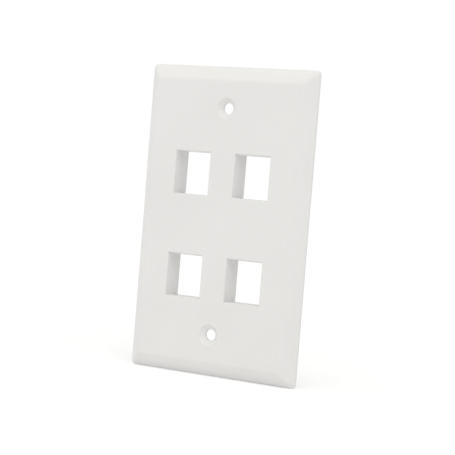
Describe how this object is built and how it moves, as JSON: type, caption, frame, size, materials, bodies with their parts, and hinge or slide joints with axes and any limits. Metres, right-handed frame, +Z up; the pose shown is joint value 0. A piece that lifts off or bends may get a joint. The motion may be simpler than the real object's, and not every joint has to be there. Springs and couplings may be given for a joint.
{
  "type": "keystone faceplate",
  "caption": "Bevelled single-gang wall faceplate with keystone jack ports, countersunk mounting holes and a hollow back.",
  "frame": {"origin": "centre of the plane in which the rim meets the wall", "axes": "+Z up, +X to the right seen from the front, +Y into the wall; the front faces -Y"},
  "size_m": [0.0698, 0.0089, 0.1142],
  "materials": {
    "faceplate": "white moulded ABS with a fine satin surface"
  },
  "bodies": {
    "root": {"faceplate": "faceplate"}
  },
  "joints": []
}
